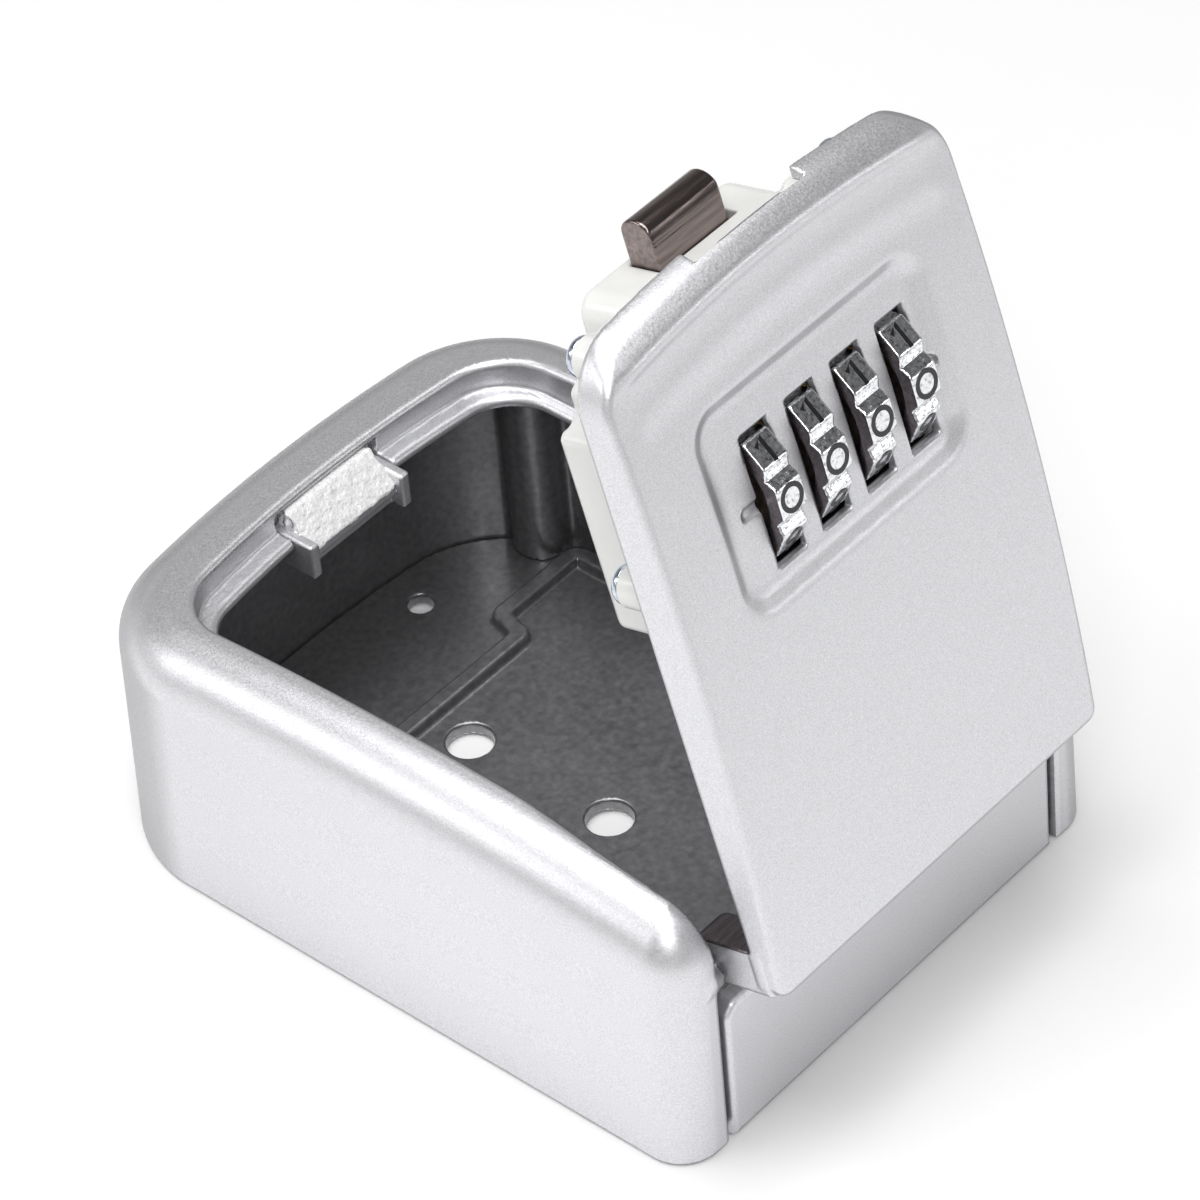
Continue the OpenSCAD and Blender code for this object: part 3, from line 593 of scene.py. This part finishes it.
def lid_field(p):
    x, y, z = p
    front = lid_front(x, y, z)
    plain = crown(y, z, LID_PROUD)
    arch = np.hypot(x, y - ARCH_CY) - LID_ARCH_R
    sides = meet(np.abs(x) - HALF_LID, LID_FOOT - y, 2.2)
    body = meet(meet(meet(sides, arch, LID_CORNER_R), front, 1.3), LID_WALL_Z - z, 0.5)
    roll = (arch + front + 3.1) / math.sqrt(2)
    body = meet(body, roll, RIM_ROLL)
    hollow = meet(lid_outline(x, y, 2.2), plain + LID_SHEET, 0.8)
    panel_back = meet(recess_2d(x, y) - LID_SHEET, -(plain + RECESS["depth"] + 1.6), 0.4)
    hollow = cut(hollow, panel_back, 0.5)
    body = cut(body, hollow, 0.4)
    above_panel = plain + RECESS["depth"]
    bevel = (recess_2d(x, y) - RECESS_SLOPE * above_panel) / math.hypot(1, RECESS_SLOPE)
    body = cut(body, meet(bevel, -above_panel, 0.5), 0.35)
    for i in range(1, DIAL_COUNT + 1):
        window = rect(x, y, (dial_x(i), DIAL_Y), (WINDOW_HALF_W, WINDOW_HALF_L), 0.35)
        body = cut(body, meet(window, 38 - z), 0.25)
    marks = [(dial_x(1) - WINDOW_HALF_W - MARK_OUT, 1), (dial_x(DIAL_COUNT) + WINDOW_HALF_W + 1.4, -1)]
    for mark_x, side in marks:
        t = np.clip((x - mark_x) * side, 0, 6)
        groove = np.hypot(np.hypot(x - mark_x - side * t, y - DIAL_Y), above_panel - MARK_SUNK) - MARK_R
        body = cut(body, groove, 0.25)
    notch = box(p, (-NOTCH_HALF, STRIKE_Y[0], LID_WALL_Z - 2), (NOTCH_HALF, HALF_H, STRIKE_Z[1] + 0.3))
    body = cut(body, notch, 0.3)
    skirt = box(p, (-SKIRT_HALF, LID_FOOT, SKIRT_Z), (SKIRT_HALF, LID_FOOT + SKIRT_T, LID_WALL_Z + 2), 0.7)
    body = join(body, skirt, 0.4)
    ear = meet(slab(y, LID_FOOT, EAR_Y), slab(z, 27.4, LID_WALL_Z + 2))
    ear = meet(ear, np.minimum(disc(y, z, (EAR_AXIS_Y, HINGE_Z), EAR_R), HINGE_Z - z), 0.3)
    ear = meet(slab(np.abs(x), EAR_X, HALF_LID), ear, 0.7)
    body = join(body, ear, 0.5)
    body = cut(body, rod(p, -PIN_HOLE_END, PIN_HOLE_END, HINGE_Y, HINGE_Z, PIN_HOLE_R), 0.1)
    for sx, sy in SCREW_SPOTS:
        post = meet(disc(x, y, (sx, sy), LID_POST_R), meet(LID_WALL_Z + 0.05 - z, plain + 1.5), 0.2)
        body = join(body, post, 0.8)
    return body


def lid_material(centres, facing):
    """The inward faces of the ears are bare metal."""
    x, y, z = centres.T
    ear = (np.abs(x) > EAR_X - 0.8) & (y < EAR_Y + 0.5) & (z < LID_WALL_Z + 0.3)
    return (ear & (facing[:, 1] > 0.35)).astype(int)


lid = carve("lid_cover", lid_field, (-HALF_LID, LID_FOOT, SKIRT_Z), (HALF_LID, 46, 48), 0.48 * FINE,
            [PAINT, BARE_ZINC_AND_SHADE], lid_material, on_lid=True)
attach(lid, "lid")
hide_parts("lid_shell")

# ---------------------------------------------------------------- lock housing

HOUSE_BACK, HOUSE_TOP_Y = 22.5, 38.0
# each step of the outline: half width, lowest and highest y, corner radius
ZONES = [(26.2, -9, 22.8, 1.6), (22.2, 19, 27.5, 1.5), (19.4, 24, 30.8, 1.5), (16.5, 26, HOUSE_TOP_Y, 3.4)]
CHAMBER = (-17.2, 21.6)
COVER_TOP = 23.8
LATCH_HALF = 7.0
LATCH_Z = (24.7, 30.4)
LATCH_MID = sum(LATCH_Z) / 2


def housing_2d(x, y):
    """The stepped outline of the block, widest at the dials and narrowest round the latch."""
    outline = None
    for half, low, high, corner in ZONES:
        zone = rect(x, y, (0, (low + high) / 2), (half, (high - low) / 2), corner)
        outline = zone if outline is None else join(outline, zone, 2.2)
    return outline


LUG_R, LUG_Z, LUG_JOIN_X = 3.15, 33.0, 15
BACK_SEAT = (25.0, -7.7, 21.3)
CHAMBER_R = DIAL_R + 0.4
SHAFT_ROOM, SHAFT_ROOM_R, SHAFT_HOLE_R = (-24.2, 24.8), 7.6, 2.1
LATCH_PLAY = 0.15
# heights clear of the back and of the front of the block, for cuts that run out of it
CLEAR_BACK, CLEAR_FRONT = 20, 44


def screw_lugs(p):
    """The four lugs, joined to the block by arms. The lower pair has a long foot."""
    x, y, z = p
    face = LID_WALL_Z - 0.05
    lugs = None
    for sx, sy in SCREW_SPOTS:
        inner = math.copysign(LUG_JOIN_X, sx)
        left, right = min(sx, inner), max(sx, inner)
        lug = meet(disc(x, y, (sx, sy), LUG_R), slab(z, LUG_Z, face), 0.3)
        arm = box(p, (left, sy - 2.6, LUG_Z), (right, sy + 2.6, face), 0.7)
        if sy < 10:
            foot = box(p, (left - 1.2, sy - 8.6, 34.4), (right + 1.2, sy, face), 2.0)
            arm = join(arm, foot, 1.0)
        lug = join(lug, arm, 0.5)
        lugs = lug if lugs is None else np.minimum(lugs, lug)
    return lugs


def dial_room(p):
    """The round chamber of the dials and the narrower room for the shaft, both open to the back."""
    room = rod(p, *CHAMBER, DIAL_Y, DIAL_Z, CHAMBER_R)
    low = box(p, (CHAMBER[0], DIAL_Y - 11, CLEAR_BACK), (CHAMBER[1], DIAL_Y + 9.6, DIAL_Z))
    high = box(p, (CHAMBER[0], DIAL_Y - 11, DIAL_Z - 1), (CHAMBER[1], DIAL_Y + 11, CLEAR_FRONT))
    shaft = rod(p, *SHAFT_ROOM, DIAL_Y, DIAL_Z, SHAFT_ROOM_R)
    under = box(p, (SHAFT_ROOM[0], DIAL_Y - SHAFT_ROOM_R, CLEAR_BACK),
                (SHAFT_ROOM[1], DIAL_Y + SHAFT_ROOM_R, DIAL_Z))
    return [room, low, high, shaft, under]


def housing_field(p):
    x, y, z = p
    body = meet(housing_2d(x, y), slab(z, HOUSE_BACK, LID_WALL_Z + 3), 1.5)
    body = meet(body, z - (LID_WALL_Z - 0.05), 0.3)
    body = join(body, screw_lugs(p), 1.6)
    for sx, sy in SCREW_SPOTS:
        body = cut(body, disc(x, y, (sx, sy), 1.65), 0.1)
        body = cut(body, meet(disc(x, y, (sx, sy), 3.3), z - LUG_Z), 0.3)
    for room in dial_room(p):
        body = cut(body, room, 0.2)
    half, low, high = BACK_SEAT
    body = cut(body, box(p, (-half, low, CLEAR_BACK), (half, high, COVER_TOP + 0.05), 0.5), 0.2)
    body = cut(body, rod(p, -25.7, 25.7, DIAL_Y, DIAL_Z, SHAFT_HOLE_R))
    channel = box(p, (-LATCH_HALF - LATCH_PLAY, 21.8, LATCH_Z[0] - LATCH_PLAY),
                  (LATCH_HALF + 1.7, 45, LATCH_Z[1] + LATCH_PLAY), 0.5)
    body = cut(body, channel, 0.3)
    bar_room = box(p, (-17.8, DIAL_Y + 8.6, LATCH_Z[1] - 0.5), (15, 30.3, CLEAR_FRONT))
    rivet_room = box(p, (-8, 29.3, LATCH_Z[1] - 0.5), (8, 35, CLEAR_FRONT))
    detent_room = box(p, (-18, -4.6, 27), (22, -1, CLEAR_FRONT))
    return cut(cut(cut(body, bar_room), rivet_room), detent_room)


def housing_material(centres, facing):
    """The rooms inside the block are painted black, as painted shade."""
    x, y, z = centres.T
    # painted shade: the chamber faces behind the dial windows are painted black where shade falls
    inside = housing_2d(x, y) < -1.8
    return (inside & (z > HOUSE_BACK + 0.3) & (z < LID_WALL_Z - 0.4)).astype(int)


housing = carve("lock_case", housing_field, (-33.8, -9, HOUSE_BACK), (33.8, 41, LID_WALL_Z), 0.42 * FINE,
                [IVORY, BLACK_AND_SHADE], housing_material, on_lid=True)
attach(housing, "lid")
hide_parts("lock_housing")


def screw_field(p, spot, head_z, head_r, head_t, shank_r, length):
    """A pan-head screw whose head looks towards -Z, with a cross recess."""
    x, y, z = p
    r = np.hypot(x - spot[0], y - spot[1])
    dome = np.hypot(r, z - (head_z + 3.4)) - (head_t + 3.4)
    head = meet(meet(r - head_r, z - head_z, 0.15), dome, 0.45)
    shank = meet(r - shank_r, slab(z, head_z - 0.5, head_z + length), 0.2)
    body = join(head, shank, 0.2)
    u, v = np.abs(x - spot[0]), np.abs(y - spot[1])
    cross = np.minimum(meet(u - 1.6, v - 0.38), meet(v - 1.6, u - 0.38))
    cross = meet(cross, z - (head_z - head_t + 1.0), 0.1)
    return cut(body, cross, 0.12)


HEAD_R, HEAD_T, SHANK_R, SHANK_L = 2.9, 1.9, 1.4, 10.2
for n, spot in enumerate(SCREW_SPOTS):
    low, high = (spot[0] - 3, spot[1] - 3, 31), (spot[0] + 3, spot[1] + 3, 43.3)
    screw = carve(f"housing_screw_{n + 1}",
                  lambda p: screw_field(p, spot, LUG_Z, HEAD_R, HEAD_T, SHANK_R, SHANK_L),
                  low, high, 0.2 * FINE, [SCREW], on_lid=True)
    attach(screw, "lid")
    if n == 0:
        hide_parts("housing_screws")

# ---------------------------------------------------------------- latch bolt

LATCH_TIP, LATCH_TAIL, LATCH_NOSE_R = 45.2, 27.5, 3.2
SPRING_BORES, BORE_R, BORE_END = (-4, 4), 1.8, 33


def latch_field(p):
    """A flat bolt with a half-round nose and two bores for its springs."""
    x, y, z = p
    flat = meet(slab(z, *LATCH_Z), slab(y, LATCH_TAIL, LATCH_TIP + 3), 0.2)
    nose = disc(y, z, (LATCH_TIP - LATCH_NOSE_R, LATCH_MID), LATCH_NOSE_R)
    flat = meet(flat, np.minimum(nose, y - (LATCH_TIP - LATCH_NOSE_R)), 0.5)
    bolt = meet(np.abs(x) - LATCH_HALF, flat, 0.5)
    for bore_x in SPRING_BORES:
        bolt = cut(bolt, meet(np.hypot(x - bore_x, z - LATCH_MID) - BORE_R, y - BORE_END), 0.1)
    return bolt


latch = carve("latch_nose", latch_field,
              (-LATCH_HALF, LATCH_TAIL, LATCH_Z[0]), (LATCH_HALF, LATCH_TIP, LATCH_Z[1]),
              0.22 * FINE, [LATCH], on_lid=True)
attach(latch, "latch")
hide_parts("latch_bolt")

# ---------------------------------------------------------------- dials

TOOTH_TOP, TOOTH_HALF, GROOVE_FLOOR = 12.15, 2.25, 11.05
FLANK_LEAN = math.radians(52)
DIAL_BORE_R = 4.85
DIGITS = 10


def dial_field(p, centre_x):
    """A ring with ten flat teeth, a bore for the sleeve and a ring groove in one side."""
    x, y, z = p
    y, z = y - DIAL_Y, z - DIAL_Z
    step = 2 * math.pi / DIGITS
    angle = np.arctan2(y, z)
    angle = angle - step * np.round(angle / step)
    radius = np.hypot(y, z)
    height, side = radius * np.cos(angle), np.abs(radius * np.sin(angle))
    flank = (side - TOOTH_HALF) * math.sin(FLANK_LEAN) + (height - TOOTH_TOP) * math.cos(FLANK_LEAN)
    tooth = meet(height - TOOTH_TOP, flank, 0.35)
    rim = join(tooth, radius - GROOVE_FLOOR, 0.25)
    ring = meet(rim, slab(x, centre_x - DIAL_W / 2, centre_x + DIAL_W / 2), 0.35)
    groove = meet(slab(radius, 6.6, 9.6), x - (centre_x - DIAL_W / 2 + 0.6), 0.3)
    return cut(cut(ring, radius - DIAL_BORE_R, 0.2), groove, 0.3)


def dial_material(centres, facing):
    """The side faces are painted dark, as painted shade in the window gaps."""
    return (np.abs(facing[:, 0]) > 0.75).astype(int)


# strokes of each digit, 1.4 high and about 1 wide, centred on the origin; the 0 is a circle
STROKES = {
    0: [arc_points(0, 0, 0.68, 0.68, 0, 360, 32)],
    1: [[(-0.36, 0.34), (0.1, 0.68), (0.1, -0.68)]],
    2: [arc_points(0, 0.27, 0.45, 0.43, 165, -35) + [(-0.48, -0.7), (0.5, -0.7)]],
    3: [arc_points(-0.05, 0.33, 0.42, 0.37, 150, -90) + arc_points(-0.05, -0.33, 0.5, 0.37, 90, -150)],
    4: [[(0.22, -0.7), (0.22, 0.7), (-0.5, -0.3), (0.5, -0.3)]],
    5: [[(0.42, 0.7), (-0.36, 0.7), (-0.42, 0.1)] + arc_points(-0.02, -0.24, 0.48, 0.46, 125, -150)],
    6: [arc_points(0.1, -0.05, 0.6, 0.78, 80, 190) + arc_points(0, -0.26, 0.47, 0.44, 180, 540, 24)],
    7: [[(-0.48, 0.7), (0.48, 0.7), (-0.1, -0.7)]],
    8: [arc_points(0, 0.35, 0.38, 0.35, 0, 360, 22), arc_points(0, -0.33, 0.48, 0.37, 0, 360, 24)],
    9: [arc_points(-0.1, 0.05, 0.6, 0.78, -100, 10) + arc_points(0, 0.26, 0.47, 0.44, 0, 360, 24)],
}
DIGIT_W, DIGIT_STROKE, DIGIT_PROUD, DIGIT_SUNK = 2.7, 0.76, 0.04, 0.25


def ribbon(build, points, place):
    """A flat band along a stroke, as a closed solid. place turns plane coordinates and a height to a point."""
    pts = np.array(points)
    ring = np.allclose(pts[0], pts[-1])
    if ring:
        pts = pts[:-1]
    along = (np.roll(pts, -1, 0) - np.roll(pts, 1, 0)) if ring else np.gradient(pts, axis=0)
    along /= np.linalg.norm(along, axis=1)[:, None]
    across = np.stack([-along[:, 1], along[:, 0]], 1) * DIGIT_STROKE / 2
    if not ring:
        pts = pts.copy()
        pts[0] -= along[0] * DIGIT_STROKE * 0.3
        pts[-1] += along[-1] * DIGIT_STROKE * 0.3
    corners = [(-1, -DIGIT_SUNK), (-1, DIGIT_PROUD), (1, DIGIT_PROUD), (1, -DIGIT_SUNK)]
    rows = [[build.verts.new(place(*(point + s * side), h)) for s, h in corners]
            for point, side in zip(pts, across)]
    pairs = zip(rows, rows[1:] + rows[:1]) if ring else zip(rows, rows[1:])
    for a, b in pairs:
        for k in range(4):
            build.faces.new((a[k], a[(k + 1) % 4], b[(k + 1) % 4], b[k]))
    if not ring:
        build.faces.new(rows[0][::-1])
        build.faces.new(rows[-1])


def digit_band(i):
    """The ten black digits of dial i, each let into the flat of its tooth."""
    build = bmesh.new()
    for digit, strokes in STROKES.items():
        a = digit * 2 * math.pi / DIGITS
        def place(u, v, h):
            radius = TOOTH_TOP + h
            return (MM * (dial_x(i) + u), MM * (DIAL_Y + radius * math.sin(a) + v * math.cos(a)),
                    MM * (DIAL_Z + radius * math.cos(a) - v * math.sin(a)))
        for stroke in strokes:
            ribbon(build, [(u * DIGIT_W, v * DIGIT_W) for u, v in stroke], place)
    bmesh.ops.recalc_face_normals(build, faces=build.faces)
    mesh = bpy.data.meshes.new(f"digits_{i}")
    build.to_mesh(mesh)
    build.free()
    mesh.materials.append(INK)
    mesh.transform(LID_TURN)
    obj = bpy.data.objects.new(f"digits_{i}", mesh)
    bpy.context.scene.collection.objects.link(obj)
    return obj


x0 = dial_x(1)
first = carve("wheel_1", lambda p: dial_field(p, x0), (x0 - DIAL_W / 2, DIAL_Y - DIAL_R, DIAL_Z - DIAL_R),
              (x0 + DIAL_W / 2, DIAL_Y + DIAL_R, DIAL_Z + DIAL_R), 0.26 * FINE, [CHROME, BARE_ZINC_AND_SHADE],
              dial_material, on_lid=True)
for i in range(1, DIAL_COUNT + 1):
    wheel = first
    if i > 1:
        wheel = bpy.data.objects.new(f"wheel_{i}", first.data.copy())
        wheel.data.transform(Matrix.Translation(((dial_x(i) - x0) * MM, 0, 0)))
        bpy.context.scene.collection.objects.link(wheel)
    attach(wheel, f"dial_{i}")
    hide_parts(f"dial_ring_{i}")
    digits = digit_band(i)
    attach(digits, f"dial_{i}")

# ---------------------------------------------------------------- CAD nodes that stay

KEPT = {
    "base_screws": SCREW, "hinge_pins": STEEL, "back_cover": COVER, "dial_shaft": STEEL,
    "shaft_clips": SPRING, "detent_spring": SPRING, "sleeve_spring": SPRING, "latch_springs": SPRING,
    "locking_bar": BAR, "bar_rivets": BAR, "reset_slider": BLACK_AND_SHADE,
}
for i in range(1, DIAL_COUNT + 1):
    KEPT[f"gate_sleeve_{i}"] = BRASS
for node, material in KEPT.items():
    mesh = frame["nodes"][node].data
    mesh.materials.clear()
    mesh.materials.append(material)

# ---------------------------------------------------------------- floor, light and camera

def stage():
    mesh = bpy.data.meshes.new("floor")
    half, below = 3.0, -0.0002
    mesh.from_pydata([(-half, -half, below), (half, -half, below), (half, half, below), (-half, half, below)],
                     [], [(0, 1, 2, 3)])
    mesh.materials.append(new_material("floor_white", (0.93, 0.93, 0.93), 0, 0.7)[0])
    floor = bpy.data.objects.new("floor", mesh)
    bpy.context.scene.collection.objects.link(floor)


def area_light(name, place, aim, size, power):
    data = bpy.data.lights.new(name, "AREA")
    data.shape = "RECTANGLE"
    data.size, data.size_y = size
    data.energy = power
    lamp = bpy.data.objects.new(name, data)
    lamp.location = place
    lamp.rotation_mode = "QUATERNION"
    lamp.rotation_quaternion = (Vector(aim) - Vector(place)).to_track_quat("-Z", "Y")
    bpy.context.scene.collection.objects.link(lamp)


def world_light():
    """A studio that is white up to eye level and darker overhead."""
    world = bpy.data.worlds.new("studio")
    world.use_nodes = True
    tree = world.node_tree
    coords = tree.nodes.new("ShaderNodeTexCoord")
    split = tree.nodes.new("ShaderNodeSeparateXYZ")
    tree.links.new(coords.outputs["Generated"], split.inputs["Vector"])
    shade = ramp(tree, split.outputs["Z"], [(0.0, 1.0), (0.28, 1.0), (0.55, 0.34), (0.8, 0.26), (1.0, 0.3)])
    background = tree.nodes["Background"]
    tree.links.new(shade, background.inputs["Color"])
    background.inputs["Strength"].default_value = 0.39
    bpy.context.scene.world = world


def camera():
    data = bpy.data.cameras.new("camera")
    data.sensor_width = 36
    data.lens = 181.6
    data.clip_start, data.clip_end = 0.05, 20
    cam = bpy.data.objects.new("camera", data)
    azimuth, elevation, roll = (math.radians(angle) for angle in (45.71, 42.144, -5.403))
    distance = 0.85
    aim = Vector((-0.0066, -0.0147, 0.0554))
    forward = Vector((math.sin(azimuth) * math.cos(elevation), math.cos(azimuth) * math.cos(elevation),
                      -math.sin(elevation)))
    cam.location = aim - forward * distance
    cam.rotation_mode = "QUATERNION"
    turn = Matrix.Rotation(roll, 3, "Z").to_quaternion()
    cam.rotation_quaternion = forward.to_track_quat("-Z", "Y") @ turn
    bpy.context.scene.collection.objects.link(cam)
    bpy.context.scene.camera = cam


stage()
world_light()
area_light("key", (-0.62, 0.50, 0.52), (0, 0, 0.03), (0.55, 0.40), 1.9)
area_light("overhead", (-0.05, 0.05, 1.1), (0, 0, 0), (0.8, 0.8), 10.0)
area_light("fill", (-0.5, -0.5, 0.8), (0, 0, 0.03), (0.35, 0.35), 3.0)
area_light("side", (0.55, -0.85, 0.34), (0, 0, 0.05), (0.5, 0.25), 0.9)
camera()
bpy.context.scene.view_settings.view_transform = "Standard"
